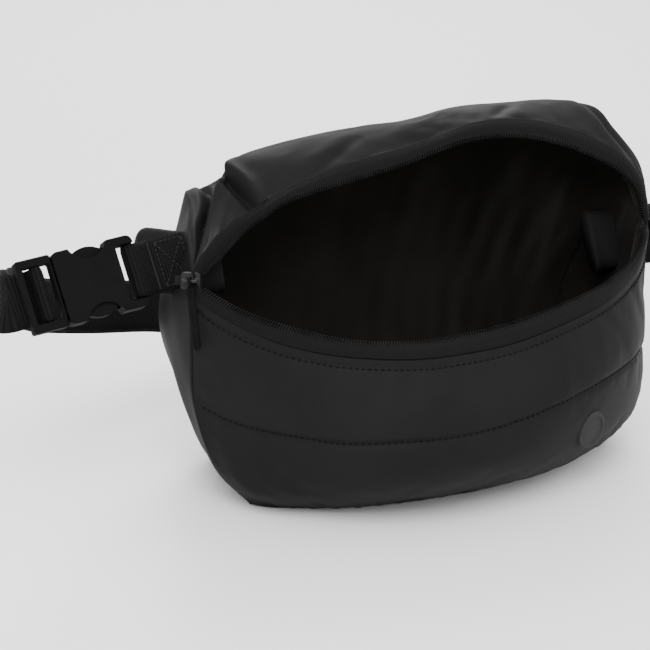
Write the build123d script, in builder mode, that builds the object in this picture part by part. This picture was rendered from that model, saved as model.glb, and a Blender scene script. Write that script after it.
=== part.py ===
"""Waist pack (belt bag) standing open, with a coil zip and a side-release buckle.

Frame: +X is the wearer's-left end seen from the front (right in a front view), +Y points to the
back of the bag, +Z is up. The origin is the middle of the base, on the surface that the bag
stands on. Millimetres throughout.
"""

import math
import os

from build123d import *

os.makedirs("parts", exist_ok=True)

# --- driving dimensions --------------------------------------------------------------------

SHELL = 1.2                 # outer cloth, with its backing
PADDING = 4.8               # wadding between the cloth and the lining
LINING = 0.8
BASE_THICKNESS = 3.0

# level z, front corner left (x, y), front corner right (x, y), front middle y,
# back half width, back corner y, back middle y
LEVELS = [
    (0, (-98, -26), (98, -26), -51, 90, 42, 47),
    (56, (-117, -12), (117, -12), -91, 107, 58, 64),
    (92, (-121, -16), (121, -16), -70, 117, 65, 72),
    (115, (-122, -14), (122, -16), -45, 120, 67, 74),
    (140, (-113, 8), (119, -8), -6, 118, 67, 73),
    (160, (-95, 34), (108, 8), 24, 104, 65, 70),
    (169, (-82, 46), (92, 26), 41, 88, 61, 64),
]

FRONT_SEAM = Plane(origin=(0, -24, 0), x_dir=(1, 0, 0), z_dir=(0, -115, 8))
BACK_SEAM = Plane(origin=(0, 38, 0), x_dir=(1, 0, 0), z_dir=(0, 115, -23))
TOP_SEAM = Plane(origin=(0, -16, 118), x_dir=(1, 0, 0), z_dir=(0, -15, 88))
BASE_SEAM = Plane.XY.offset(BASE_THICKNESS)

MOUTH = Plane(origin=(0, -18, 115), x_dir=(1, 0, 0), z_dir=(0, -0.588, 0.809))
MOUTH_HALF = 116            # half width of the opening between the coils
MOUTH_LOWER = 54            # from the chord down to the lower coil
MOUTH_UPPER = 48            # from the chord up to the upper coil
COIL_WIDTH = 2.2
TAPE_WIDTH = 8.5

# the slider's own plane at the left corner: x along its travel, z out of its face
ZIP_END = Plane(origin=(-122, -14, 116.5), x_dir=(0.908, -0.418, 0), z_dir=(-0.40, -0.869, 0.28))
SLIDER_TRAVEL = 5.0
SLIDER_LENGTH = 9.0
SLIDER_WIDTH = 8.0
SLIDER_PLATE = 1.2
CHANNEL = 2.2               # height of the slider's channel
CHAIN_WIDTH = 4.4
CHAIN_THICKNESS = 1.6
BAIL_HEIGHT = 3.6
BAIL_WIRE = 1.4
EYE_HOLE = 2.9              # hole in the pull's eye
EYE_WIRE = 1.1
PULL_LENGTH = 34.0
PULL_LEAN = 3.0             # degrees forward of straight down

WEBBING = 26.0
WEB_THICKNESS = 1.6

BUCKLE_AT = Vector(-142, 4, 118)
BUCKLE_ALONG = Vector(-0.99, -0.12, -0.07).normalized()
BUCKLE_FRONT = Vector(-0.13, 0.50, 0.856).cross(BUCKLE_ALONG).normalized()
BUCKLE_UP = BUCKLE_ALONG.cross(BUCKLE_FRONT).normalized()
BUCKLE_HALF = 17.5          # half of the buckle's width
SOCKET_LENGTH = 40.8
SOCKET_THICKNESS = 9.0
CAVITY_HEIGHT = 5.6
CAVITY_HALF = 14.8
CAVITY_START = 11.0
NOTCH_AT = (22.5, 21.3)
NOTCH_RADIUS = 10.3
SLOT_HALF = 13.5
BUCKLE_LENGTH = 58.6
PLUG_START = 41.1
PLUG_THICKNESS = 6.0
PRONG_THICKNESS = 5.0
BAR_SLOT = 5.4              # width of each slot beside a bar, along the belt
SOCKET_SLOT = 3.8           # where the slots start, along the belt
PLUG_SLOTS = (42.4, 50.4)
TONGUE_START = 14.0
TONGUE_WIDTH = 6.0
TONGUE_THICKNESS = 3.0

STRAP_UP = Vector(0.024, 0.515, 0.857).normalized()
BELT_RIGHT = Vector(121, 6, 99)     # middle of the right-hand webbing where it leaves the bag


# --- bag forms -----------------------------------------------------------------------------

def level_points(level, front, side, back):
    """Corners and middles of the outline at one level, drawn in by the three distances."""
    left, right, middle, back_half, back_corner, back_middle = level[1:]
    a = (left[0] + side, left[1] + front)
    c = (right[0] - side, right[1] + front)
    b = ((a[0] + c[0]) / 2, middle + front)
    reach = 0.30 * (c[0] - a[0])
    shoulder = 0.26 * (a[1] + c[1]) / 2 + 0.74 * b[1]
    front_points = [a, (b[0] - reach, shoulder), b, (b[0] + reach, shoulder), c]
    d = (back_half - side, back_corner - back)
    e = (0, back_middle - back)
    f = (-back_half + side, back_corner - back)
    return front_points, [d, e, f]


def bag_form(front, side, back, base, top):
    """The bag's closed volume, drawn in by a distance on each side."""
    with BuildPart() as form:
        for number, level in enumerate(LEVELS):
            z = level[0]
            if number == 0:
                z = base
            if number == len(LEVELS) - 1:
                z = z - top
            front_points, back_points = level_points(level, front, side, back)
            with BuildSketch(Plane.XY.offset(z)):
                with BuildLine():
                    Spline(*front_points)
                    Line(front_points[-1], back_points[0])
                    ThreePointArc(*back_points)
                    Line(back_points[-1], front_points[0])
                make_face()
        loft()
    return form.part


def mouth_face(grow):
    """Lens between the two lips of the mouth, made larger by grow."""
    half = MOUTH_HALF + grow
    low = -MOUTH_LOWER - grow
    high = MOUTH_UPPER + grow
    with BuildSketch(MOUTH) as lens:
        with BuildLine():
            Spline((-half, 0), (-0.62 * half, 0.74 * low), (0, low), (0.62 * half, 0.74 * low), (half, 0))
            Spline((half, 0), (0.62 * half, 0.80 * high), (0, high), (-0.62 * half, 0.80 * high), (-half, 0))
        make_face()
    return lens.sketch


def mouth_cutter(grow):
    """Prism through the mouth: well out of the bag, and a little way into it."""
    with BuildPart() as cutter:
        extrude(to_extrude=mouth_face(grow), amount=90)
        extrude(to_extrude=mouth_face(grow), amount=-24)
    return cutter.part


OUTER = bag_form(0, 0, 0, 0, 0)
CLOTH_INSIDE = bag_form(SHELL, SHELL, SHELL, SHELL, SHELL)
DEEP = SHELL + PADDING
SIDE_GAP = 1.9
PADDING_INSIDE = bag_form(DEEP, SHELL + SIDE_GAP, DEEP, BASE_THICKNESS + 0.2, DEEP)
LINED = DEEP + LINING
CAVITY = bag_form(LINED, SHELL + SIDE_GAP + LINING, LINED, BASE_THICKNESS + 0.2 + LINING, LINED)

LIPS = mouth_cutter(0)
COILS = mouth_cutter(COIL_WIDTH)
TAPES = mouth_cutter(COIL_WIDTH + TAPE_WIDTH)


def slider_space():
    """Room that the slider sweeps, cut out of what lies round it."""
    with BuildPart() as space:
        with BuildSketch(ZIP_END.offset(-6)):
            with Locations((SLIDER_TRAVEL / 2, 0)):
                Rectangle(SLIDER_LENGTH + SLIDER_TRAVEL + 2, SLIDER_WIDTH + 2)
        extrude(amount=20)
    return space.part


SLIDER_SPACE = slider_space()


def chain_block():
    """Closed chain, running from the seam into the slider's channel."""
    with BuildPart() as chain:
        with BuildSketch(ZIP_END.offset(-CHAIN_THICKNESS / 2)):
            with Locations((-3.5, 0)):
                Rectangle(8.0, CHAIN_WIDTH)
        extrude(amount=CHAIN_THICKNESS)
    return chain.part


CHAIN = chain_block()


def finish(part, name):
    """Label one piece and write it."""
    part.label = name
    export_step(part, f"parts/{name}.step")


# --- shell panels --------------------------------------------------------------------------

with BuildPart() as base_panel:
    add(OUTER)
    split(bisect_by=BASE_SEAM, keep=Keep.BOTTOM)
finish(base_panel.part, "base_panel")

with BuildPart() as shell_walls:
    add(OUTER)
    add(CLOTH_INSIDE, mode=Mode.SUBTRACT)
    split(bisect_by=BASE_SEAM, keep=Keep.TOP)

with BuildPart() as panel_walls:
    add(shell_walls.part)
    add(TAPES, mode=Mode.SUBTRACT)
    add(SLIDER_SPACE, mode=Mode.SUBTRACT)
    add(CHAIN, mode=Mode.SUBTRACT)

with BuildPart() as top_panel:
    add(panel_walls.part)
    split(bisect_by=TOP_SEAM, keep=Keep.TOP)
finish(top_panel.part, "top_panel")

with BuildPart() as lower_walls:
    add(panel_walls.part)
    split(bisect_by=TOP_SEAM, keep=Keep.BOTTOM)

with BuildPart() as front_panel:
    add(lower_walls.part)
    split(bisect_by=FRONT_SEAM, keep=Keep.TOP)
finish(front_panel.part, "front_panel")

with BuildPart() as rear_walls:
    add(lower_walls.part)
    split(bisect_by=FRONT_SEAM, keep=Keep.BOTTOM)

with BuildPart() as back_panel:
    add(rear_walls.part)
    split(bisect_by=BACK_SEAM, keep=Keep.TOP)
finish(back_panel.part, "back_panel")

with BuildPart() as side_walls:
    add(rear_walls.part)
    split(bisect_by=BACK_SEAM, keep=Keep.BOTTOM)

with BuildPart() as gusset_left:
    add(side_walls.part)
    split(bisect_by=Plane.YZ, keep=Keep.BOTTOM)
finish(gusset_left.part, "gusset_left")

with BuildPart() as gusset_right:
    add(side_walls.part)
    split(bisect_by=Plane.YZ, keep=Keep.TOP)
finish(gusset_right.part, "gusset_right")


# --- padding and lining --------------------------------------------------------------------

with BuildPart() as padding_walls:
    add(CLOTH_INSIDE)
    add(PADDING_INSIDE, mode=Mode.SUBTRACT)
    split(bisect_by=BASE_SEAM, keep=Keep.TOP)
    add(TAPES, mode=Mode.SUBTRACT)
    add(SLIDER_SPACE, mode=Mode.SUBTRACT)
    add(CHAIN, mode=Mode.SUBTRACT)

with BuildPart() as top_wadding:
    add(padding_walls.part)
    split(bisect_by=TOP_SEAM, keep=Keep.TOP)
finish(top_wadding.part, "top_wadding")

with BuildPart() as lower_padding:
    add(padding_walls.part)
    split(bisect_by=TOP_SEAM, keep=Keep.BOTTOM)

with BuildPart() as front_wadding:
    add(lower_padding.part)
    split(bisect_by=FRONT_SEAM, keep=Keep.TOP)
finish(front_wadding.part, "front_wadding")

with BuildPart() as back_foam:
    add(lower_padding.part)
    split(bisect_by=BACK_SEAM, keep=Keep.TOP)
finish(back_foam.part, "back_foam")

with BuildPart() as lining:
    add(PADDING_INSIDE)
    add(CAVITY, mode=Mode.SUBTRACT)
    add(TAPES, mode=Mode.SUBTRACT)
    add(SLIDER_SPACE, mode=Mode.SUBTRACT)
    add(CHAIN, mode=Mode.SUBTRACT)
finish(lining.part, "lining")

# --- zip -----------------------------------------------------------------------------------

MOUTH_MIDDLE = Plane(origin=MOUTH.origin, x_dir=(1, 0, 0), z_dir=MOUTH.y_dir)

with BuildPart() as tape_ring:
    add(shell_walls.part)
    add(TAPES, mode=Mode.INTERSECT)
    add(COILS, mode=Mode.SUBTRACT)
    add(SLIDER_SPACE, mode=Mode.SUBTRACT)
    add(CHAIN, mode=Mode.SUBTRACT)

with BuildPart() as zip_tape_upper:
    add(tape_ring.part)
    split(bisect_by=MOUTH_MIDDLE, keep=Keep.TOP)
finish(zip_tape_upper.part.solids().sort_by(SortBy.VOLUME)[-1], "zip_tape_upper")

with BuildPart() as zip_tape_lower:
    add(tape_ring.part)
    split(bisect_by=MOUTH_MIDDLE, keep=Keep.BOTTOM)
finish(zip_tape_lower.part, "zip_tape_lower")

with BuildPart() as coil_ring:
    add(shell_walls.part)
    add(COILS, mode=Mode.INTERSECT)
    add(LIPS, mode=Mode.SUBTRACT)
    add(SLIDER_SPACE, mode=Mode.SUBTRACT)

with BuildPart() as zip_coil_upper:
    add(coil_ring.part)
    split(bisect_by=MOUTH_MIDDLE, keep=Keep.TOP)
finish(zip_coil_upper.part, "zip_coil_upper")

with BuildPart() as zip_coil_lower:
    add(coil_ring.part)
    split(bisect_by=MOUTH_MIDDLE, keep=Keep.BOTTOM)
finish(zip_coil_lower.part, "zip_coil_lower")

with BuildPart() as zip_chain_end:
    add(CHAIN)
finish(zip_chain_end.part, "zip_chain_end")

PLATE_OUT = CHANNEL / 2 + SLIDER_PLATE
BAIL_LENGTH = SLIDER_LENGTH - 1.4
BAIL_PLANE = Plane(origin=ZIP_END.origin, x_dir=ZIP_END.x_dir, z_dir=-ZIP_END.y_dir)

with BuildPart() as zip_slider:
    with BuildSketch(ZIP_END.offset(-PLATE_OUT)):
        RectangleRounded(SLIDER_LENGTH, SLIDER_WIDTH, 1.6)
    extrude(amount=2 * PLATE_OUT)
    with BuildSketch(ZIP_END.offset(-CHANNEL / 2)):
        Rectangle(SLIDER_LENGTH + 2, SLIDER_WIDTH + 2)
        with Locations((SLIDER_LENGTH / 2 - 2.0, 0)):
            Ellipse(1.5, 1.2, mode=Mode.SUBTRACT)
    extrude(amount=CHANNEL, mode=Mode.SUBTRACT)
    with BuildSketch(BAIL_PLANE):
        with Locations((0, PLATE_OUT + BAIL_HEIGHT / 2)):
            Rectangle(BAIL_LENGTH, BAIL_HEIGHT)
        with Locations((0, PLATE_OUT + (BAIL_HEIGHT - BAIL_WIRE) / 2)):
            Rectangle(BAIL_LENGTH - 2 * BAIL_WIRE, BAIL_HEIGHT - BAIL_WIRE, mode=Mode.SUBTRACT)
    extrude(amount=BAIL_WIRE / 2, both=True)
finish(zip_slider.part, "zip_slider")

# the pull's eye goes round the bail's wire, and the pull swings about that wire
PIVOT_OUT = PLATE_OUT + BAIL_HEIGHT - BAIL_WIRE / 2
PULL_PIVOT = ZIP_END.from_local_coords(Vector(0, 0, PIVOT_OUT))
PULL_DOWN = Vector(0, 0, -1).rotate(Axis((0, 0, 0), -ZIP_END.x_dir), PULL_LEAN)
PULL_PLANE = Plane(origin=PULL_PIVOT, x_dir=PULL_DOWN, z_dir=ZIP_END.x_dir)

with BuildPart() as zip_pull:
    with BuildSketch(PULL_PLANE):
        Circle(EYE_HOLE / 2 + EYE_WIRE)
        Circle(EYE_HOLE / 2, mode=Mode.SUBTRACT)
    extrude(amount=0.9, both=True)
    with BuildSketch(PULL_PLANE):
        with Locations((EYE_HOLE / 2 + 0.6, 0)):
            Rectangle(PULL_LENGTH - EYE_HOLE / 2, 2.0, align=(Align.MIN, Align.CENTER))
    extrude(amount=1.9, both=True)
finish(zip_pull.part, "zip_pull")

# --- webbing tabs and side wings -----------------------------------------------------------

# sections of the belt at the buckle: x along it, away from the bag, and y towards the front
BELT_SECTION = Plane(origin=BUCKLE_AT, x_dir=BUCKLE_ALONG, z_dir=BUCKLE_UP)
BUCKLE_FACE = Plane(origin=BUCKLE_AT, x_dir=BUCKLE_ALONG, z_dir=BUCKLE_FRONT)
RIGHT_SECTION = Plane(origin=BELT_RIGHT, x_dir=(1, 0, 0), z_dir=STRAP_UP)
TAB_BACK = 26.0
BAR_HALF = 2.3
TAB_RIGHT_LENGTH = 14.0
FOLD = 3.4                  # two layers of webbing, with the stitching

# one side of the tab, from the bag to the loop round the socket's bar, and the room in that loop
TAB_SIDE = [(-TAB_BACK, FOLD / 2), (-8, FOLD / 2), (-2, 4.3), (3.4, 4.3), (5.6, 2.4)]
LOOP_ROOM = [(-6.5, 0), (-1.4, 2.65), (4.0, 2.65), (4.0, -2.65), (-1.4, -2.65)]

with BuildPart() as tab_left:
    with BuildSketch(BELT_SECTION):
        with BuildLine():
            Polyline(*TAB_SIDE, *[(x, -y) for x, y in reversed(TAB_SIDE)], close=True)
        make_face()
        with BuildLine(mode=Mode.PRIVATE) as loop_hole:
            Polyline(*LOOP_ROOM, close=True)
        make_face(loop_hole.line.edges(), mode=Mode.SUBTRACT)
    extrude(amount=WEBBING / 2, both=True)
    add(OUTER, mode=Mode.SUBTRACT)
finish(tab_left.part, "tab_left")

with BuildPart() as tab_right:
    with BuildSketch(RIGHT_SECTION):
        with Locations((TAB_RIGHT_LENGTH, 0)):
            Rectangle(TAB_RIGHT_LENGTH + 4, FOLD, align=(Align.MAX, Align.CENTER))
    extrude(amount=WEBBING / 2, both=True)
    add(OUTER, mode=Mode.SUBTRACT)
finish(tab_right.part, "tab_right")

with BuildPart() as wing_left:
    with BuildSketch(BELT_SECTION.offset(-14)):
        with Locations((-1.5, -FOLD / 2 - 3.1)):
            RectangleRounded(32, 9.5, 3.5, align=(Align.MAX, Align.MAX))
    extrude(amount=34)
    add(OUTER, mode=Mode.SUBTRACT)
finish(wing_left.part, "wing_left")

with BuildPart() as wing_right:
    with BuildSketch(RIGHT_SECTION.offset(-14)):
        with Locations((-8, FOLD / 2 + 0.3)):
            RectangleRounded(20, 9.5, 3.5, align=(Align.MIN, Align.MIN))
    extrude(amount=34)
    add(OUTER, mode=Mode.SUBTRACT)
finish(wing_right.part, "wing_right")

# --- buckle --------------------------------------------------------------------------------

UPPER = -1                  # the buckle face's y points down
LOWER = 1

with BuildPart() as buckle_socket:
    with BuildSketch(BUCKLE_FACE.offset(-SOCKET_THICKNESS / 2)):
        RectangleRounded(SOCKET_LENGTH, 2 * BUCKLE_HALF, 3.0, align=(Align.MIN, Align.CENTER))
        with Locations((NOTCH_AT[0], NOTCH_AT[1]), (NOTCH_AT[0], -NOTCH_AT[1])):
            Circle(NOTCH_RADIUS, mode=Mode.SUBTRACT)
        with Locations((SOCKET_SLOT, 0)):
            Rectangle(BAR_SLOT, 2 * SLOT_HALF, align=(Align.MIN, Align.CENTER), mode=Mode.SUBTRACT)
    extrude(amount=SOCKET_THICKNESS)
    with BuildSketch(BUCKLE_FACE.offset(-CAVITY_HEIGHT / 2)):
        with Locations((CAVITY_START, 0)):
            Rectangle(SOCKET_LENGTH, 2 * CAVITY_HALF, align=(Align.MIN, Align.CENTER))
    extrude(amount=CAVITY_HEIGHT, mode=Mode.SUBTRACT)
    with BuildSketch(BELT_SECTION):
        with Locations((1.9, BAR_HALF + 2), (1.9, -BAR_HALF - 2)):
            Rectangle(12, 4)
    extrude(amount=SLOT_HALF, both=True, mode=Mode.SUBTRACT)
finish(buckle_socket.part, "buckle_socket")

with BuildPart() as buckle_plug:
    with BuildSketch(BUCKLE_FACE.offset(-PLUG_THICKNESS / 2)):
        with Locations((PLUG_START, 0)):
            RectangleRounded(BUCKLE_LENGTH - PLUG_START, 2 * BUCKLE_HALF, 1.2, align=(Align.MIN, Align.CENTER))
        for slot in PLUG_SLOTS:
            with Locations((slot, 0)):
                Rectangle(BAR_SLOT, 2 * SLOT_HALF, align=(Align.MIN, Align.CENTER), mode=Mode.SUBTRACT)
    extrude(amount=PLUG_THICKNESS)
    with BuildSketch(BELT_SECTION):
        with Locations((49.1, 3.5), (49.1, -3.5)):
            Rectangle(4, 3)
    extrude(amount=SLOT_HALF, both=True, mode=Mode.SUBTRACT)
    with BuildSketch(BUCKLE_FACE.offset(-TONGUE_THICKNESS / 2)):
        with Locations((TONGUE_START, 0)):
            RectangleRounded(PLUG_START - TONGUE_START + 0.6, TONGUE_WIDTH, 0.8,
                             align=(Align.MIN, Align.CENTER))
    extrude(amount=TONGUE_THICKNESS)
finish(buckle_plug.part, "buckle_plug")


def prong(side):
    """One latching arm of the plug, with the pad that is pressed to release it."""
    with BuildPart() as arm:
        with BuildSketch(BUCKLE_FACE.offset(-PRONG_THICKNESS / 2)):
            with BuildLine():
                Polyline((40.8, side * 8.6), (40.8, side * 11.8), (31.5, side * 12.2), (30.0, side * 15.2))
                Spline((30.0, side * 15.2), (22.5, side * 17.0), (14.5, side * 13.6))
                Polyline((14.5, side * 13.6), (13.2, side * 11.0), (14.6, side * 8.4), (24.0, side * 8.2),
                         (31.0, side * 8.6), (40.8, side * 8.6))
            make_face()
        extrude(amount=PRONG_THICKNESS)
    return arm.part


finish(prong(UPPER), "buckle_prong_upper")
finish(prong(LOWER), "buckle_prong_lower")

with BuildPart() as strap_wrap:
    with BuildSketch(BELT_SECTION):
        with BuildLine():
            Polyline((61.0, -3.5), (54.6, -3.5), (52.2, -2.4), (52.2, 2.4), (51.0, 3.6), (47.2, 3.6),
                     (46.0, 2.4), (46.0, -2.6), (48.0, -5.6), (56.0, -6.8), (61.0, -6.8), close=True)
        make_face()
        with Locations((49.1, 0)):
            Rectangle(3.2, 4.4, mode=Mode.SUBTRACT)
    extrude(amount=WEBBING / 2, both=True)
finish(strap_wrap.part, "strap_wrap")

# --- waist strap ---------------------------------------------------------------------------

STRAP_START = BUCKLE_AT + BUCKLE_ALONG * 63.4 - BUCKLE_FRONT * 5.2
STRAP_PLANE = Plane(origin=STRAP_START, x_dir=(-1, 0, 0), z_dir=STRAP_UP)
STRAP_END = STRAP_PLANE.to_local_coords(BELT_RIGHT + Vector(TAB_RIGHT_LENGTH + 0.3, 0, 0))
# seen along the webbing's width: x to the left of the bag, y to the front
STRAP_ROUTE = [
    (0, 0), (9, -3), (11, -22), (2, -44), (-22, -62), (-58, -80), (-98, -104), (-136, -136), (-176, -164),
    (-224, -180), (-274, -176), (-318, -148), (-344, -104), (-355, -60), (-354, -24),
    (STRAP_END.X - 6, STRAP_END.Y), (STRAP_END.X, STRAP_END.Y),
]
TAIL_POINTS = 9
TAIL_ASIDE = -3.2            # the free end lies inside the loop, beside the strap


def route_radii(points):
    """Largest arc that each corner of a route allows."""
    radii = []
    for before, here, after in zip(points, points[1:], points[2:]):
        arriving = Vector(*here) - Vector(*before)
        leaving = Vector(*after) - Vector(*here)
        turn = math.radians(arriving.get_angle(leaving))
        radii.append(0.45 * min(arriving.length, leaving.length) / math.tan(turn / 2))
    return radii


def route_beside(points, distance):
    """The same route, moved sideways by a distance."""
    moved = []
    for number, here in enumerate(points):
        before = points[max(number - 1, 0)]
        after = points[min(number + 1, len(points) - 1)]
        side = (Vector(*after) - Vector(*before)).normalized().rotate(Axis.Z, 90)
        moved.append((here[0] + distance * side.X, here[1] + distance * side.Y))
    return moved


def webbing_along(points):
    """Webbing standing on edge along a route."""
    with BuildPart() as web:
        with BuildSketch(STRAP_PLANE):
            with BuildLine() as line:
                FilletPolyline(*points, radius=route_radii(points))
            trace(line_width=WEB_THICKNESS)
        extrude(amount=WEBBING / 2, both=True)
    print("webbing length", round(line.wires()[0].length), "radii", [round(r) for r in route_radii(points)])
    return web.part


finish(webbing_along(STRAP_ROUTE), "strap")
finish(webbing_along(route_beside(STRAP_ROUTE[:TAIL_POINTS], TAIL_ASIDE)), "strap_tail")

# --- badge ---------------------------------------------------------------------------------

BADGE_X = 67.0
BADGE_Z = 33.0
BADGE_HALF_WIDTH = 7.2
BADGE_HALF_HEIGHT = 11.5
BADGE_PROUD = 1.8
BADGE_SUNK = 4.0            # how far back the plate starts, before the bag's own form is taken off

FRONT_SKIN = OUTER.faces().sort_by(Axis.Y)[0]
FROM_FRONT = Axis((BADGE_X, -200, BADGE_Z), (0, 1, 0))
BADGE_SPOT, BADGE_OUTWARD = FRONT_SKIN.find_intersection_points(FROM_FRONT)[0]
BADGE_AT = Plane(origin=BADGE_SPOT, x_dir=Vector(0, 0, 1).cross(BADGE_OUTWARD), z_dir=BADGE_OUTWARD)

with BuildPart() as badge:
    with BuildSketch(BADGE_AT.offset(-BADGE_SUNK)):
        Ellipse(BADGE_HALF_WIDTH, BADGE_HALF_HEIGHT)
    extrude(amount=BADGE_SUNK + BADGE_PROUD)
    add(OUTER, mode=Mode.SUBTRACT)
finish(badge.part.solids().sort_by(SortBy.VOLUME)[-1], "badge")
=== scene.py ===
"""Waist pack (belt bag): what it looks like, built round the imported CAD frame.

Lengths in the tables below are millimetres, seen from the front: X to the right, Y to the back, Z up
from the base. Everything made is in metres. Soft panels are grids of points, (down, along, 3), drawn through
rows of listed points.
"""

import math

import bpy
import numpy as np
from mathutils import Matrix, Vector


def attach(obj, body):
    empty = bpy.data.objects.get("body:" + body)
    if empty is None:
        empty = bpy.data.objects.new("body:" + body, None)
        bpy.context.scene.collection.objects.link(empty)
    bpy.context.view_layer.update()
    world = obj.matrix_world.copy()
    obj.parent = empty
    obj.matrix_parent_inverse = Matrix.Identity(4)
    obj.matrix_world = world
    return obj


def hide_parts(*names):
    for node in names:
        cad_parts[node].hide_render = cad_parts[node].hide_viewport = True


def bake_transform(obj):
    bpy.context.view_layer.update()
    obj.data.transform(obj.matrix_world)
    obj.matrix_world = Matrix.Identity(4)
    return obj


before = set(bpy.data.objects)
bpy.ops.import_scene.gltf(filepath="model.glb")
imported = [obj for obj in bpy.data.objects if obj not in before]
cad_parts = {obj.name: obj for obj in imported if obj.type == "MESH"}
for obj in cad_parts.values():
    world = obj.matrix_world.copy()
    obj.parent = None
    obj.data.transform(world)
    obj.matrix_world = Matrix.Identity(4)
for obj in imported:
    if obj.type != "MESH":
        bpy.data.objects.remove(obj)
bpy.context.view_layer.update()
MM = 0.001


# --- camera, floor and light ---------------------------------------------------------------

LOOK = Vector((-48.3, 0, 78.6)) * MM
DISTANCE = 1.10
AZIMUTH = math.radians(-22)
ELEVATION = math.radians(21)
LENS = 123.7


def make_camera():
    data = bpy.data.cameras.new("camera")
    data.lens = LENS
    data.sensor_width = 36
    camera = bpy.data.objects.new("camera", data)
    bpy.context.collection.objects.link(camera)
    back = Vector((math.sin(AZIMUTH) * math.cos(ELEVATION), -math.cos(AZIMUTH) * math.cos(ELEVATION),
                   math.sin(ELEVATION)))
    camera.location = LOOK + back * DISTANCE
    camera.rotation_mode = "QUATERNION"
    camera.rotation_quaternion = (-back).to_track_quat("-Z", "Y")
    bpy.context.scene.camera = camera


def node_material(name):
    """An empty node material: (material, nodes, links, principled shader)."""
    material = bpy.data.materials.new(name)
    material.use_nodes = True
    tree = material.node_tree
    return material, tree.nodes, tree.links, tree.nodes["Principled BSDF"]


def make_floor():
    mesh = bpy.data.meshes.new("floor")
    far = 6.0
    mesh.from_pydata([(-far, -far, 0), (far, -far, 0), (far, far, 0), (-far, far, 0)], [], [(0, 1, 2, 3)])
    floor = bpy.data.objects.new("floor", mesh)
    bpy.context.collection.objects.link(floor)
    material, _, _, shader = node_material("floor")
    shader.inputs["Base Color"].default_value = (0.90, 0.90, 0.90, 1)
    shader.inputs["Roughness"].default_value = 0.4
    mesh.materials.append(material)


def area_light(name, place, aim, size, power):
    data = bpy.data.lights.new(name, "AREA")
    data.energy = power
    data.size = size
    light = bpy.data.objects.new(name, data)
    light.location = place
    light.rotation_euler = (Vector(aim) - Vector(place)).to_track_quat("-Z", "Y").to_euler()
    bpy.context.collection.objects.link(light)


def make_light():
    world = bpy.data.worlds.new("world")
    world.use_nodes = True
    world.node_tree.nodes["Background"].inputs["Color"].default_value = (1, 1, 1, 1)
    world.node_tree.nodes["Background"].inputs["Strength"].default_value = 1.6
    bpy.context.scene.world = world
    area_light("key", (-0.5, -0.9, 1.3), (0, 0, 0.08), 0.9, 24)
    area_light("fill", (1.2, -0.7, 0.8), (0, 0, 0.08), 1.0, 5)
    area_light("rim", (0.3, 1.1, 0.9), (0, 0, 0.1), 0.8, 14)


make_camera()
make_floor()
make_light()


# --- small geometry kit --------------------------------------------------------------------

def unit(v):
    v = np.asarray(v, float)
    return v / np.maximum(np.linalg.norm(v, axis=-1, keepdims=True), 1e-9)


def smooth_rows(knots, at):
    """Catmull-Rom through knots (k, ..., 3) at places 0..k-1, evaluated at the places `at`."""
    knots = np.asarray(knots, float)
    last = len(knots) - 1
    at = np.clip(np.asarray(at, float), 0, last)
    i = np.minimum(at.astype(int), last - 1)
    f = (at - i).reshape((-1,) + (1,) * (knots.ndim - 1))
    before = np.where(i.reshape(f.shape) > 0, knots[np.maximum(i - 1, 0)], 2 * knots[i] - knots[i + 1])
    after = np.where(i.reshape(f.shape) < last - 1, knots[np.minimum(i + 2, last)],
                     2 * knots[i + 1] - knots[i])
    a, b = knots[i], knots[i + 1]
    return 0.5 * (2 * a + (b - before) * f + (2 * before - 5 * a + 4 * b - after) * f ** 2
                  + (3 * a - before - 3 * b + after) * f ** 3)


def lengths(points):
    """Distance run along a line of points."""
    return np.concatenate([[0], np.cumsum(np.linalg.norm(np.diff(points, axis=0), axis=1))])


def at_run(points, values, places):
    """`values` that go with the points of a line, read at distances along it."""
    run = lengths(points)
    return np.stack([np.interp(places, run, values[:, k]) for k in range(values.shape[1])], -1)


def line_at(points, shares):
    """Points on the smooth curve through `points`, at shares 0..1 of its length."""
    fine = smooth_rows(points, np.linspace(0, len(points) - 1, 40 * len(points)))
    return at_run(fine, fine, np.asarray(shares) * lengths(fine)[-1])


def panel_grid(rows, across, down, flip=False):
    """A cloth surface (down, across, 3) through rows of given points, facing out of the bag."""
    shares = np.linspace(0, 1, across)
    knots = np.stack([line_at(r, shares) for r in rows])
    grid = smooth_rows(knots, np.linspace(0, len(rows) - 1, down))
    return grid[:, ::-1] if flip else grid


def finer(grid, down, across):
    """The same surface with more rows and columns."""
    tall = smooth_rows(grid, np.linspace(0, grid.shape[0] - 1, down))
    wide = smooth_rows(tall.transpose(1, 0, 2), np.linspace(0, grid.shape[1] - 1, across))
    return wide.transpose(1, 0, 2)


def grid_normals(grid):
    return unit(np.cross(np.gradient(grid, axis=0), np.gradient(grid, axis=1)))


def waves(u, v, count, low, high, seed):
    """Sum of a few seeded sine waves over u and v, about -1 to 1."""
    own = np.random.default_rng(seed)
    total = 0
    for _ in range(count):
        fu, fv = own.uniform(low, high), own.uniform(0.2, 1.2) * own.choice([-1, 1])
        total = total + np.sin(fu * u + fv * v * 4 + own.uniform(0, 6.28)) * own.uniform(0.5, 1)
    return total / (0.6 * count)


def set_uv(mesh, uv):
    """Map coordinates per vertex, (n, 2)."""
    layer = mesh.uv_layers.new(name="map")
    corners = np.empty(len(mesh.loops), int)
    mesh.loops.foreach_get("vertex_index", corners)
    layer.data.foreach_set("uv", np.asarray(uv, np.float32)[corners].ravel())


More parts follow.
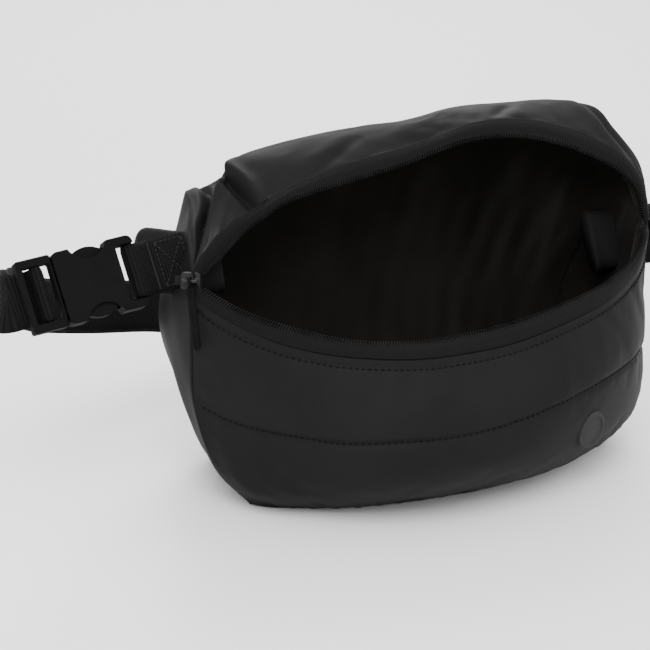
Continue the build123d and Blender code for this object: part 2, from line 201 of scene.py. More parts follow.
def mesh_object(name, points, faces, uv=None):
    mesh = bpy.data.meshes.new(name)
    mesh.from_pydata([tuple(p) for p in np.asarray(points) * MM], [], faces)
    mesh.update()
    mesh.shade_smooth()
    if uv is not None:
        set_uv(mesh, uv)
    thing = bpy.data.objects.new(name, mesh)
    bpy.context.collection.objects.link(thing)
    return thing


def grid_faces(rows, columns, start=0):
    return [(start + r * columns + c, start + (r + 1) * columns + c, start + (r + 1) * columns + c + 1,
             start + r * columns + c + 1) for r in range(rows - 1) for c in range(columns - 1)]


def apply_modifiers(thing):
    graph = bpy.context.evaluated_depsgraph_get()
    mesh = bpy.data.meshes.new_from_object(thing.evaluated_get(graph))
    thing.modifiers.clear()
    thing.data = mesh
    mesh.shade_smooth()
    return thing


def cloth_sheet(name, grids, thickness):
    """One piece from one or more grids, given real thickness inwards."""
    points, faces, uv = [], [], []
    for grid in grids:
        faces += grid_faces(grid.shape[0], grid.shape[1], sum(len(p) for p in points))
        points.append(grid.reshape(-1, 3))
        middle = grid[:, grid.shape[1] // 2]
        u = np.broadcast_to(lengths(grid[0])[None, :], grid.shape[:2])
        v = np.broadcast_to(lengths(middle)[:, None], grid.shape[:2])
        uv.append(np.stack([u, v], -1).reshape(-1, 2))
    thing = mesh_object(name, np.concatenate(points), faces, np.concatenate(uv))
    add = thing.modifiers.new("thickness", "SOLIDIFY")
    add.thickness = thickness * MM
    add.offset = -1
    return apply_modifiers(thing)


CLOTH_FRAMES = 20           # length of the cloth simulation
INWARDS_MOST = 0.4          # mm that the simulation may move a point inwards


def pressed_out(grid, held, pressure, slack, cap):
    """Cloth simulation of a padded panel: held where it is sewn, pushed outwards by its wadding.

    What it moves is smoothed twice over and kept under `cap` millimetres.
    """
    thing = mesh_object("simulated", grid.reshape(-1, 3), grid_faces(*grid.shape[:2]))
    group = thing.vertex_groups.new(name="sewn")
    group.add([int(i) for i in np.flatnonzero(held.ravel())], 1.0, "REPLACE")
    cloth = thing.modifiers.new("cloth", "CLOTH")
    set_to = cloth.settings
    set_to.quality = 7
    set_to.mass = 0.25
    set_to.air_damping = 2.0
    set_to.tension_stiffness = set_to.compression_stiffness = 20
    set_to.shear_stiffness = 10
    set_to.bending_stiffness = 0.6
    set_to.vertex_group_mass = "sewn"
    set_to.use_pressure = True
    set_to.uniform_pressure_force = pressure
    set_to.shrink_min = -slack
    set_to.effector_weights.gravity = 0
    cloth.collision_settings.use_collision = False
    cloth.point_cache.frame_start = 1
    cloth.point_cache.frame_end = CLOTH_FRAMES
    for step in range(1, CLOTH_FRAMES + 1):
        bpy.context.scene.frame_set(step)
    graph = bpy.context.evaluated_depsgraph_get()
    mesh = thing.evaluated_get(graph).data
    moved = np.empty(len(mesh.vertices) * 3)
    mesh.vertices.foreach_get("co", moved)
    moved = moved.reshape(grid.shape) / MM - grid
    bpy.data.objects.remove(thing)
    bpy.context.scene.frame_set(1)
    normal = grid_normals(grid)
    outwards = np.sum(moved * normal, axis=-1, keepdims=True)
    moved = moved + normal * (np.maximum(outwards, -INWARDS_MOST) - outwards)
    size = np.linalg.norm(moved, axis=-1, keepdims=True)
    print("cloth moved up to", round(float(size.max()), 1), "mm")
    for _ in range(2):
        eased = moved.copy()
        eased[1:-1, 1:-1] = (moved[:-2, 1:-1] + moved[2:, 1:-1] + moved[1:-1, :-2] + moved[1:-1, 2:]) / 4
        moved = np.where(held[..., None], moved, (moved + eased) / 2)
    return grid + moved * np.minimum(1, cap / np.maximum(size, 1e-6))


def sweep(name, centre, wide, section, caps=True):
    """A closed section (k, 2), in the directions `wide` and across it, along a centre line."""
    centre = np.asarray(centre, float)
    section = np.asarray(section, float)
    tangent = unit(np.gradient(centre, axis=0))
    wide = np.broadcast_to(np.asarray(wide, float), centre.shape)
    wide = unit(wide - tangent * np.sum(wide * tangent, axis=1, keepdims=True))
    out = np.cross(tangent, wide)
    points = centre[:, None] + wide[:, None] * section[None, :, :1] + out[:, None] * section[None, :, 1:]
    n, k = len(centre), len(section)
    faces = [(r * k + c, r * k + (c + 1) % k, (r + 1) * k + (c + 1) % k, (r + 1) * k + c)
             for r in range(n - 1) for c in range(k)]
    if caps:
        faces += [tuple(range(k))[::-1], tuple((n - 1) * k + c for c in range(k))]
    u = np.broadcast_to(lengths(centre)[:, None], (n, k))
    v = np.broadcast_to(section[None, :, 0], (n, k))
    return mesh_object(name, points.reshape(-1, 3), faces, np.stack([u, v], -1).reshape(-1, 2))


def ribbon_section(width, thickness, across=12):
    """Section of woven webbing: flat faces and rounded selvedges."""
    x = np.linspace(-1, 1, across)
    half = thickness / 2 * (1 - 0.75 * np.abs(x) ** 14) * (1 + 0.10 * (np.abs(x) > 0.86))
    upper = np.stack([x * width / 2, half], -1)
    lower = np.stack([x[::-1] * width / 2, -half[::-1]], -1)
    return np.concatenate([upper, lower])


def stitches(name, line, normals, pitch=3.0, length=2.2, radius=0.36, sides=6):
    """A row of thread stitches lying on a seam."""
    total = lengths(line)[-1]
    count = int(total / pitch)
    places = (np.arange(count) + 0.5) * total / count
    middle = at_run(line, line, places)
    normal = unit(at_run(line, normals, places))
    along = unit(at_run(line, unit(np.gradient(line, axis=0)), places))
    side = np.cross(along, normal)
    reach = np.array([-1, -0.8, -0.3, 0.3, 0.8, 1]) * length / 2
    fat = np.array([0.2, 0.75, 1, 1, 0.75, 0.2]) * radius
    lift = np.array([-1.1, -0.2, 0.25, 0.25, -0.2, -1.1]) * radius
    turn = np.arange(sides) * 2 * math.pi / sides
    points = (middle[:, None, None] + along[:, None, None] * reach[None, :, None, None]
              + normal[:, None, None] * (lift[:, None] + fat[:, None] * np.sin(turn))[None, :, :, None]
              + side[:, None, None] * (fat[:, None] * np.cos(turn))[None, :, :, None])
    faces = []
    rings = len(reach)
    for s in range(count):
        start = s * rings * sides
        faces += [(start + r * sides + c, start + r * sides + (c + 1) % sides,
                   start + (r + 1) * sides + (c + 1) % sides, start + (r + 1) * sides + c)
                  for r in range(rings - 1) for c in range(sides)]
    return mesh_object(name, points.reshape(-1, 3), faces)


def coil(name, line, radius, wire, pitch, sides=5, steps=10):
    """Zip coil: one monofilament wound round the tape's edge."""
    total = lengths(line)[-1]
    turns = int(total / pitch)
    places = np.linspace(0, total, turns * steps)
    centre = at_run(line, line, places)
    along = unit(np.gradient(centre, axis=0))
    side = unit(np.cross(along, [0, -0.6, 0.8]))
    out = np.cross(side, along)
    angle = np.linspace(0, 2 * math.pi * turns, turns * steps)[:, None]
    path = centre + radius * (np.cos(angle) * side * 1.25 + np.sin(angle) * out * 0.85)
    turn = np.arange(sides) * 2 * math.pi / sides
    return sweep(name, path, side, wire * np.stack([np.cos(turn), np.sin(turn)], -1))


def moulded(name, node, voxel, rounds, axes=None):
    """The CAD node's own form with its edges softened the way a moulding's are."""
    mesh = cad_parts[node].data.copy()
    thing = bpy.data.objects.new(name, mesh)
    bpy.context.collection.objects.link(thing)
    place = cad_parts[node].matrix_world.copy()
    turn = Matrix.Identity(4)
    if axes is not None:
        turn = Matrix([[float(x) for x in a] for a in axes]).to_4x4()
    mesh.transform(turn @ place)
    remesh = thing.modifiers.new("remesh", "REMESH")
    remesh.mode = "VOXEL"
    remesh.voxel_size = voxel * MM
    soft = thing.modifiers.new("soft", "SMOOTH")
    soft.factor = 0.5
    soft.iterations = rounds
    apply_modifiers(thing)
    thing.data.transform(turn.inverted())
    return thing


# --- materials -----------------------------------------------------------------------------

def bump_chain(nodes, links, shader, layers):
    """Joins (height socket, strength, distance) layers into one normal."""
    last = None
    for height, strength, distance in layers:
        bump = nodes.new("ShaderNodeBump")
        bump.inputs["Strength"].default_value = strength
        bump.inputs["Distance"].default_value = distance
        links.new(height, bump.inputs["Height"])
        if last is not None:
            links.new(last, bump.inputs["Normal"])
        last = bump.outputs["Normal"]
    links.new(last, shader.inputs["Normal"])


def object_coordinates(nodes):
    return nodes.new("ShaderNodeTexCoord").outputs["Object"]


def noise(nodes, links, coordinates, scale, detail=2.0, rough=0.5):
    made = nodes.new("ShaderNodeTexNoise")
    made.inputs["Scale"].default_value = scale
    made.inputs["Detail"].default_value = detail
    made.inputs["Roughness"].default_value = rough
    links.new(coordinates, made.inputs["Vector"])
    return made.outputs["Fac"]


def wave(nodes, links, coordinates, scale, direction="X", distortion=0.0):
    made = nodes.new("ShaderNodeTexWave")
    made.wave_type = "BANDS"
    made.bands_direction = direction
    made.inputs["Scale"].default_value = scale
    made.inputs["Distortion"].default_value = distortion
    links.new(coordinates, made.inputs["Vector"])
    return made.outputs["Fac"]


def mixed_colour(nodes, links, shader, factor, dark, light, low=0.3, high=0.7):
    ramp = nodes.new("ShaderNodeValToRGB")
    ramp.color_ramp.elements[0].position = low
    ramp.color_ramp.elements[1].position = high
    ramp.color_ramp.elements[0].color = (*dark, 1)
    ramp.color_ramp.elements[1].color = (*light, 1)
    links.new(factor, ramp.inputs["Fac"])
    links.new(ramp.outputs["Color"], shader.inputs["Base Color"])
    return ramp.outputs["Color"]


def varied(nodes, links, factor, low, high, socket):
    made = nodes.new("ShaderNodeMapRange")
    made.inputs["To Min"].default_value = low
    made.inputs["To Max"].default_value = high
    links.new(factor, made.inputs["Value"])
    links.new(made.outputs["Result"], socket)


def multiply(nodes, links, a, b):
    made = nodes.new("ShaderNodeMath")
    made.operation = "MULTIPLY"
    links.new(a, made.inputs[0])
    links.new(b, made.inputs[1])
    return made.outputs[0]


def nylon(name, dark, light, roughness, weave, sheen):
    """Plain woven cloth: a fine cross weave, slubs and slight colour change."""
    material, nodes, links, shader = node_material(name)
    where = object_coordinates(nodes)
    cloud = noise(nodes, links, where, 22, 4)
    fine = noise(nodes, links, where, 900, 2)
    mixed_colour(nodes, links, shader, cloud, dark, light)
    varied(nodes, links, cloud, roughness - 0.05, roughness + 0.06, shader.inputs["Roughness"])
    warp = wave(nodes, links, where, weave, "X", 0.4)
    weft = wave(nodes, links, where, weave, "Z", 0.4)
    bump_chain(nodes, links, shader, [(multiply(nodes, links, warp, weft), 0.18, 0.0002), (fine, 0.22, 0.0002)])
    shader.inputs["Sheen Weight"].default_value = sheen
    shader.inputs["Sheen Roughness"].default_value = 0.45
    shader.inputs["Specular IOR Level"].default_value = 0.06
    return material


def webbing_material(name):
    """Ribbed webbing: ribs come from the map laid along the strap, with a fine cross twill."""
    material, nodes, links, shader = node_material(name)
    uv = nodes.new("ShaderNodeTexCoord").outputs["UV"]
    where = object_coordinates(nodes)
    ribs = wave(nodes, links, uv, 0.22, "X", 0.0)
    twill = wave(nodes, links, uv, 0.30, "Y", 0.3)
    cloud = noise(nodes, links, where, 60, 3)
    fine = noise(nodes, links, where, 1500, 2)
    mixed_colour(nodes, links, shader, multiply(nodes, links, ribs, twill), (0.0020, 0.0020, 0.0022),
                 (0.0075, 0.0075, 0.0080), 0.0, 0.8)
    varied(nodes, links, cloud, 0.55, 0.75, shader.inputs["Roughness"])
    shader.inputs["Specular IOR Level"].default_value = 0.05
    bump_chain(nodes, links, shader, [(ribs, 0.5, 0.0004), (twill, 0.35, 0.0003), (fine, 0.2, 0.0002)])
    shader.inputs["Sheen Weight"].default_value = 0.008
    return material


def plastic_material(name, dark, light, roughness):
    """Moulded acetal or rubber: a fine spark-eroded grain with rubbed, smoother places."""
    material, nodes, links, shader = node_material(name)
    where = object_coordinates(nodes)
    cloud = noise(nodes, links, where, 90, 4)
    grain = noise(nodes, links, where, 2600, 3)
    mixed_colour(nodes, links, shader, cloud, dark, light)
    varied(nodes, links, cloud, roughness - 0.08, roughness + 0.08, shader.inputs["Roughness"])
    shader.inputs["Specular IOR Level"].default_value = 0.03
    bump_chain(nodes, links, shader, [(grain, 0.18, 0.0002)])
    return material


def metal_material(name):
    material, nodes, links, shader = node_material(name)
    where = object_coordinates(nodes)
    cloud = noise(nodes, links, where, 400, 4)
    mixed_colour(nodes, links, shader, cloud, (0.006, 0.006, 0.006), (0.012, 0.012, 0.012))
    varied(nodes, links, cloud, 0.28, 0.42, shader.inputs["Roughness"])
    bump_chain(nodes, links, shader, [(cloud, 0.1, 0.0001)])
    shader.inputs["Metallic"].default_value = 0.3
    shader.inputs["Specular IOR Level"].default_value = 0.3
    return material


def tape_material(name):
    """Herringbone zip tape: slanting ribs that turn back at each row, on the map along the tape."""
    material, nodes, links, shader = node_material(name)
    uv = nodes.new("ShaderNodeTexCoord").outputs["UV"]
    where = object_coordinates(nodes)
    parts = nodes.new("ShaderNodeSeparateXYZ")
    links.new(uv, parts.inputs["Vector"])
    fold = nodes.new("ShaderNodeMath")
    fold.operation = "PINGPONG"
    fold.inputs[1].default_value = 1.9
    links.new(parts.outputs["Y"], fold.inputs[0])
    slant = nodes.new("ShaderNodeMath")
    slant.operation = "ADD"
    links.new(parts.outputs["X"], slant.inputs[0])
    links.new(fold.outputs[0], slant.inputs[1])
    joined = nodes.new("ShaderNodeCombineXYZ")
    links.new(slant.outputs[0], joined.inputs["X"])
    ribs = wave(nodes, links, joined.outputs["Vector"], 0.24, "X", 0.0)
    fine = noise(nodes, links, where, 1800, 2)
    mixed_colour(nodes, links, shader, ribs, (0.003, 0.003, 0.003), (0.011, 0.0105, 0.011), 0.1, 0.9)
    bump_chain(nodes, links, shader, [(ribs, 0.6, 0.0004), (fine, 0.2, 0.0001)])
    shader.inputs["Roughness"].default_value = 0.6
    shader.inputs["Specular IOR Level"].default_value = 0.03
    shader.inputs["Sheen Weight"].default_value = 0.008
    return material


SHELL = nylon("shell_nylon", (0.0068, 0.0065, 0.0068), (0.0086, 0.0082, 0.0085), 0.60, 900, 0.005)
LINING = nylon("lining_cloth", (0.006, 0.0055, 0.005), (0.011, 0.010, 0.009), 0.38, 700, 0.03)
WEBBING = webbing_material("webbing")
TAPE = tape_material("zip_tape")
COIL = plastic_material("zip_coil", (0.005, 0.005, 0.005), (0.012, 0.012, 0.012), 0.38)
THREAD = plastic_material("thread", (0.004, 0.004, 0.004), (0.009, 0.009, 0.009), 0.6)
BUCKLE = plastic_material("buckle_plastic", (0.0040, 0.0038, 0.0040), (0.0052, 0.0050, 0.0052), 0.62)
THREAD_TAB = plastic_material("tab_thread", (0.014, 0.0135, 0.014), (0.024, 0.0235, 0.024), 0.4)
BADGE = plastic_material("badge_rubber", (0.024, 0.024, 0.0245), (0.030, 0.030, 0.0305), 0.55)
PULL = plastic_material("pull_rubber", (0.003, 0.003, 0.003), (0.006, 0.006, 0.006), 0.5)
METAL = metal_material("black_metal")


def dress(thing, material, body="bag", nodes=()):
    """Material, slot, body and the CAD nodes that a piece stands for."""
    thing.data.materials.clear()
    thing.data.materials.append(material)
    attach(thing, body)
    if nodes:
        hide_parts(*nodes)
    return thing


# --- the bag's lines, left to right --------------------------------------------------------

LIP_LOWER = [(-121, -16, 117), (-118, -21, 113.5), (-107, -32, 106.5), (-94, -43, 101.5), (-76, -54, 96.5),
             (-57, -63, 93), (-32, -68, 91), (-11, -70, 91.5), (16, -70, 93.5), (47, -65, 97),
             (78, -53, 100), (102, -36, 103), (114, -25, 108.5), (121, -15, 114)]
LIP_UPPER = [(-121, -16, 117), (-114, -10, 118.5), (-104, -3, 122.5), (-89, 8, 129), (-78, 11, 134),
             (-63, 14, 140), (-45, 16, 143.5), (-21, 17.5, 147), (0, 17.5, 151), (20, 16, 157),
             (40, 13, 161.5), (63, 9, 161), (85, 4, 155), (101, -1, 147.5), (111, -6, 141), (117, -10, 133),
             (119.5, -12, 125), (121, -15, 114)]
EDGE_LOWER = [(-122, -16, 113), (-119.5, -21, 108.5), (-112, -29, 102.5), (-95, -45, 94.5), (-77, -58, 90),
              (-58, -67, 87.5), (-34, -73.5, 85.5), (-12, -76, 85.5), (16, -76, 87), (46, -71, 91),
              (76, -59, 94.5), (100, -41, 98), (114, -27, 103.5), (122, -15, 110)]
EDGE_UPPER = [(-122, -15, 121), (-115, -9, 126), (-106, -1, 130.5), (-91, 11, 134.5), (-78, 15, 138.5),
              (-61, 20, 144.5), (-43, 22.5, 149.5), (-24, 23.5, 153), (0, 24, 156.5), (19, 23, 161),
              (40, 20, 167), (64, 16, 167.5), (88, 10, 161.5), (105, 3, 153.5), (115, -3, 145.5),
              (121, -8, 136), (123, -11, 126), (123, -14, 117)]
QUILT = [(-121.5, -14, 54), (-117, -19, 51.5), (-110, -29, 48.5), (-99, -43, 47), (-83, -62, 48),
         (-67, -76, 48.5), (-46, -86, 50), (-20, -91, 50.5), (7, -91.5, 52.5), (37, -88, 57),
         (67, -76, 60), (90, -60, 60), (104, -45, 58.5), (115, -28, 55), (121, -14, 53)]
BELLY = [(-114, -22, 22), (-104, -38, 19), (-85, -54, 18), (-60, -68, 17.5), (-30, -77, 18), (0, -79, 19),
         (30, -77, 20), (60, -67, 21), (90, -50, 22), (110, -33, 24), (120, -20, 27)]
BASE_FRONT = [(-98, -26, 1.5), (-87, -33, 0.9), (-58, -45, 0.8), (-29, -50.5, 0.8), (0, -52, 0.8),
              (29, -50, 0.9), (61, -43, 1.5), (90, -32, 3.5), (108, -24, 8)]

BACK_SEAM = [(-97, 63, 133), (-60, 70, 137), (-20, 73, 138), (20, 74, 139), (60, 73, 139), (95, 69, 137),
             (121, 60, 132)]
BACK_HIGH = [(-102, 60, 109), (-60, 72, 104), (0, 76, 104), (60, 73, 104), (122, 61, 104)]
BACK_MIDDLE = [(-109, 58, 78), (-55, 69, 76), (0, 73, 76), (55, 70, 76), (116, 58, 78)]
BACK_LOW = [(-107, 54, 48), (-55, 65, 48), (0, 69, 48), (55, 66, 48), (109, 54, 48)]
BACK_FOOT = [(-98, 47, 19), (-50, 56, 19), (0, 59, 19), (50, 56, 19), (100, 47, 20)]
BASE_BACK = [(-90, 40, 1.5), (-45, 45.5, 0.8), (0, 47, 0.8), (45, 45.5, 0.9), (93, 40, 4)]

RISE = [(-113, 0, 126), (-106, 8, 131), (-96, 21, 139.5), (-84, 27, 145.5), (-63, 32, 152.5), (-36, 35, 158),
        (-4, 36, 162), (26, 34, 167.5), (58, 30, 169.5), (86, 24, 166), (107, 16, 159.5), (119, 6, 150),
        (124, -3, 138), (125, -7, 128)]
CREST = [(-100, 22, 135), (-92, 34, 146), (-82, 43, 153), (-66, 47, 156), (-31, 48, 161), (12, 47.5, 164.5),
         (39, 46.5, 168), (66, 45, 168.5), (95, 41, 168), (115, 35, 164), (122, 26, 155), (127, 14, 145),
         (128, 6, 137)]
BEHIND = [(-88, 54, 139), (-60, 60, 151), (-20, 63, 154), (20, 64, 156), (60, 63, 158), (95, 58, 156),
          (117, 50, 150), (126, 38, 138)]

GUSSET_LEFT = [
    [(-121.5, -15, 119), (-118, -2, 126), (-113, 14, 132), (-106, 32, 138), (-103, 48, 140), (-97, 63, 133)],
    [(-122.5, -15, 108), (-121.5, 10, 110), (-115, 36, 110), (-102, 60, 109)],
    [(-122.5, -14.5, 80), (-123, 12, 79), (-120, 38, 78), (-109, 58, 78)],
    [(-121.5, -14, 53), (-117, 12, 46), (-112, 38, 46), (-107, 54, 48)],
    [(-114, -22, 22), (-108, 10, 19), (-103, 36, 18), (-98, 47, 19)],
    [(-98, -26, 1.5), (-96, 6, 0.8), (-94, 28, 0.8), (-90, 40, 1.5)],
]
GUSSET_RIGHT = [
    [(122.5, -14, 116), (125, -5, 128), (127, 12, 136), (126, 38, 136), (121, 60, 132)],
    [(122.5, -15, 106), (125, 10, 108), (124, 36, 108), (122, 61, 104)],
    [(122, -14.5, 80), (123, 12, 79), (121, 38, 78), (116, 58, 78)],
    [(121, -14, 53), (119, 12, 48), (114, 38, 46), (109, 54, 48)],
    [(120, -20, 27), (112, 10, 21), (105, 36, 19), (100, 47, 20)],
    [(108, -24, 8), (101, 6, 3), (97, 28, 2.5), (93, 40, 4)],
]
TUCK_LEFT = [
    GUSSET_LEFT[0],
    [(-121, -14, 120), (-115, -1, 127), (-109, 15, 133.5), (-101, 33, 139.5), (-97, 48, 141), (-97, 61, 136)],
    [(-120, -13, 119), (-113, 0, 122), (-104, 18, 128), (-96, 34, 133), (-91, 47, 136), (-95, 61, 134)],
    [EDGE_UPPER[0], RISE[0], CREST[0], BEHIND[0], BACK_SEAM[0]],
]

CLOTH = 1.0                 # thickness of the shell cloth as shown


def puckers(run, distance, reach, size, seed, low=0.25, high=0.9):
    """Small gathers that run square to a seam and die away from it."""
    own = waves(run, distance / reach, 7, low, high, seed)
    return size * own * np.exp(-np.abs(distance) / reach)


def inner_part(grid, edge):
    """Nought at the ends of a panel, one inside."""
    share = np.linspace(0, 1, grid.shape[1])[None, :]
    return np.clip(np.minimum(share, 1 - share) / edge, 0, 1) ** 0.7


def drop(grid):
    """Distance of each point down its own column."""
    return np.concatenate([np.zeros((1, grid.shape[1])),
                           np.cumsum(np.linalg.norm(np.diff(grid, axis=0), axis=2), axis=0)])


def held_edges(shape, rows):
    """Which points of a panel are sewn: its outline and some rows."""
    held = np.zeros(shape, bool)
    held[:, [0, -1]] = True
    held[rows] = True
    return held


def crease(grid, start, end, depth, width, lean):
    """Movement outwards that makes a fold along a line in space, with its bank to one side."""
    normal = grid_normals(grid)
    start, end = np.array(start, float), np.array(end, float)
    axis = end - start
    share = ((grid - start) @ axis) / (axis @ axis)
    off = grid - (start + np.clip(share, 0, 1)[..., None] * axis)
    side = np.sum(off * unit(np.cross(normal, unit(axis))), axis=-1)
    past = np.linalg.norm(off, axis=-1)
    fade = np.clip(1.15 - np.abs(share - 0.5) * 1.7, 0, 1) ** 0.7
    valley = np.exp(-(side / width) ** 2)
    bank = np.exp(-((side - lean * 2.0 * width) / (1.5 * width)) ** 2)
    near = np.exp(-np.clip(past - 6 * width, 0, None) ** 2 / (2 * width ** 2))
    return (0.5 * bank - valley) * depth * fade * near


def front_panel():
    """Quilted front, and its row that carries the quilt line."""
    steps = 12
    grid = panel_grid([EDGE_LOWER, QUILT, BELLY, BASE_FRONT], 84, 3 * steps + 1)
    grid = pressed_out(grid, held_edges(grid.shape[:2], [0, 1, steps, 3 * steps]), 6.0, 0.012, 6)
    quilt = steps * 4
    grid = finer(grid, 3 * quilt + 1, 333)
    run, along = drop(grid), lengths(grid[quilt])[None, :]
    stitched = run - run[5][None, :]
    inner = inner_part(grid, 0.05)
    past_quilt = run - run[quilt][None, :]
    move = puckers(along, past_quilt, 5, 0.22, 11) + puckers(along, stitched, 4, 0.16, 12)
    move += puckers(along, run[-1][None, :] - run, 11, 0.55, 13, 0.12, 0.45)
    body = np.clip(np.minimum(run, run[-1] - run) / 12, 0, 1)
    move += 0.6 * waves(along / 30, run / 40, 5, 0.5, 1.4, 14) * body
    move -= 0.9 * np.exp(-(past_quilt / 1.6) ** 2) + 0.5 * np.exp(-(stitched / 1.3) ** 2)
    return grid + grid_normals(grid) * (move * inner)[..., None], quilt


def top_panel():
    """Padded top behind the mouth, with the folds where it is gathered."""
    steps = 9
    grid = panel_grid([EDGE_UPPER, RISE, CREST, BEHIND, BACK_SEAM], 84, 4 * steps + 1, flip=True)
    grid = pressed_out(grid, held_edges(grid.shape[:2], [0, 4 * steps]), 5.0, 0.008, 5)
    grid = finer(grid, 4 * steps * 4 + 1, 333)
    run, along = drop(grid), lengths(grid[0])[None, :]
    inner = inner_part(grid, 0.06)
    body = np.clip(np.minimum(run, run[-1] - run) / 14, 0, 1)
    move = puckers(along, run, 7, 0.75, 21, 0.22, 0.42)
    move += 0.8 * waves(along / 30, run / 34, 6, 0.5, 1.4, 22) * body
    move += crease(grid, (-89, 42, 153), (-79, 15, 138), 6.5, 2.8, 1)
    move += crease(grid, (110, 34, 165), (119, 0, 142), 2.6, 3.2, -1)
    move += crease(grid, (-42, 23, 151), (-18, 36, 161), 1.4, 3.4, 1)
    move += crease(grid, (50, 20, 168), (68, 34, 171), 1.4, 3.4, -1)
    return grid + grid_normals(grid) * (move * inner)[..., None]


def plain_panel(rows, across, down, swell, seed, flip=False, sewn=()):
    """A padded panel that swells a little between its seams and its sewn rows."""
    grid = panel_grid(rows, across, down, flip)
    u = np.linspace(0, 1, across)[None, :]
    v = np.linspace(0, 1, down)[:, None]
    dome = np.clip(16 * u * (1 - u) * v * (1 - v), 0, 1) ** 0.5
    shape = swell * dome + 0.9 * dome * waves(u * 8, v * 3, 6, 0.5, 2.2, seed)
    for row in sewn:
        past = v - v[row]
        groove = np.exp(-(past / 0.02) ** 2) + 0.5 * swell * np.exp(-(past / 0.10) ** 2)
        shape = shape - dome * groove
    return grid + grid_normals(grid) * shape[..., None]


FRONT, QUILT_ROW = front_panel()
TOP = top_panel()
BACK_ROWS = (66, 124)
BACK = plain_panel([BACK_SEAM, BACK_HIGH, BACK_MIDDLE, BACK_LOW, BACK_FOOT, BASE_BACK],
                   200, 180, 4.5, 31, True, BACK_ROWS)
SIDE_LEFT = plain_panel(GUSSET_LEFT, 70, 120, 2.0, 32, True)
SIDE_RIGHT = plain_panel(GUSSET_RIGHT, 70, 120, 2.0, 33)
TUCK = plain_panel(TUCK_LEFT, 60, 30, 0.0, 34)
BASE = panel_grid([BASE_FRONT, BASE_BACK], 120, 50)

for name, grids, fill, nodes in [
    ("front_shell", [FRONT], 0.5, ["front_panel", "front_wadding"]),
    ("top_shell", [TOP], 0.45, ["top_panel", "top_wadding"]),
    ("back_shell", [BACK], 0.5, ["back_panel", "back_foam"]),
    ("gusset_left_shell", [SIDE_LEFT, TUCK], 0.2, ["gusset_left"]),
    ("gusset_right_shell", [SIDE_RIGHT], 0.2, ["gusset_right"]),
    ("base_shell", [BASE], 0.2, ["base_panel"]),
]:
    shell = dress(cloth_sheet(name, grids, CLOTH), SHELL, nodes=nodes)


# --- lining --------------------------------------------------------------------------------

# rings round the inside, from the lips down to the floor: front half, then back half
LINING_RINGS = [
    (LIP_LOWER, LIP_UPPER),
    ([(-119, -12, 108), (-95, -42, 92), (-57, -62, 84), (-11, -69, 83), (47, -62, 87), (102, -33, 94),
      (119, -12, 105)],
     [(-117, -4, 116), (-89, 14, 131), (-45, 24, 144), (0, 25, 153), (45, 21, 162), (85, 12, 156),
      (112, 0, 141), (121, -8, 122)]),
    ([(-117, -9, 80), (-94, -43, 73), (-60, -66, 70), (-20, -77, 70), (20, -77, 72), (60, -66, 74),
      (94, -43, 77), (117, -10, 82)],
     [(-104, 20, 124), (-86, 38, 142), (-60, 41, 148), (0, 43, 157), (50, 42, 161), (95, 36, 157),
      (116, 18, 146), (122, 4, 126)]),
    ([(-115, -8, 54), (-91, -45, 49), (-58, -68, 49), (-20, -81, 51), (20, -81, 54), (58, -68, 57),
      (91, -45, 57), (115, -9, 57)],
     [(-112, 42, 106), (-90, 53, 124), (-50, 60, 132), (0, 63, 134), (50, 62, 134), (90, 57, 131),
      (113, 47, 122), (120, 22, 112)]),
    ([(-106, -6, 24), (-84, -41, 21), (-50, -61, 20), (0, -69, 21), (50, -61, 22), (84, -42, 24),
      (108, -9, 27)],
     [(-110, 46, 68), (-60, 59, 70), (0, 63, 70), (60, 59, 70), (111, 46, 70)]),
    ([(-91, -12, 7), (-55, -37, 5), (0, -44, 5), (55, -37, 5), (92, -12, 8)],
     [(-90, 36, 12), (-45, 42, 10), (0, 44, 10), (45, 42, 10), (92, 36, 13)]),
    ([(-50, 0, 5), (0, -3, 5), (50, 0, 5)], [(-50, 3, 5), (0, 3, 5), (50, 3, 5)]),
]


def lining():
    """Loose bag of thin cloth inside the shell, with its right side inwards."""
    half, down = 150, 110
    shares = np.linspace(0, 1, half)
    across = np.linspace(0, 1, 26)[1:-1, None]
    rings = []
    for front, back in LINING_RINGS:
        front, back = line_at(front, shares), line_at(back, shares)[::-1]
        right = front[-1] + (back[0] - front[-1]) * across
        left = back[-1] + (front[0] - back[-1]) * across
        rings.append(np.concatenate([front, right, back, left, front[:1]]))
    grid = smooth_rows(np.stack(rings), np.linspace(0, len(rings) - 1, down))
    depth = np.linspace(0, 1, down)[:, None]
    around = np.linspace(0, 2 * math.pi, grid.shape[1])[None, :]
    slack = np.clip(depth / 0.12, 0, 1) * np.clip((1.02 - depth) / 0.1, 0, 1)
    move = 1.5 * waves(around * 7, depth * 3, 8, 0.6, 2.4, 41)
    move = move + 0.7 * waves(around * 22, depth * 7, 8, 0.6, 2.0, 42)
    inwards = grid_normals(grid)
    if np.sum(inwards[60, 70] * (np.array([0, 0, 90]) - grid[60, 70])) < 0:
        inwards = -inwards
        grid, move, inwards = grid[:, ::-1], move[:, ::-1], inwards[:, ::-1]
    grid = grid + inwards * ((1.2 + move) * slack)[..., None]
    thing = mesh_object("lining_cloth", grid.reshape(-1, 3), grid_faces(*grid.shape[:2]))
    weld = thing.modifiers.new("weld", "WELD")
    weld.merge_threshold = 0.00005
    add = thing.modifiers.new("thickness", "SOLIDIFY")
    add.thickness = 0.5 * MM
    add.offset = -1
    return apply_modifiers(thing)


dress(lining(), LINING, nodes=["lining"])


# --- zip -----------------------------------------------------------------------------------

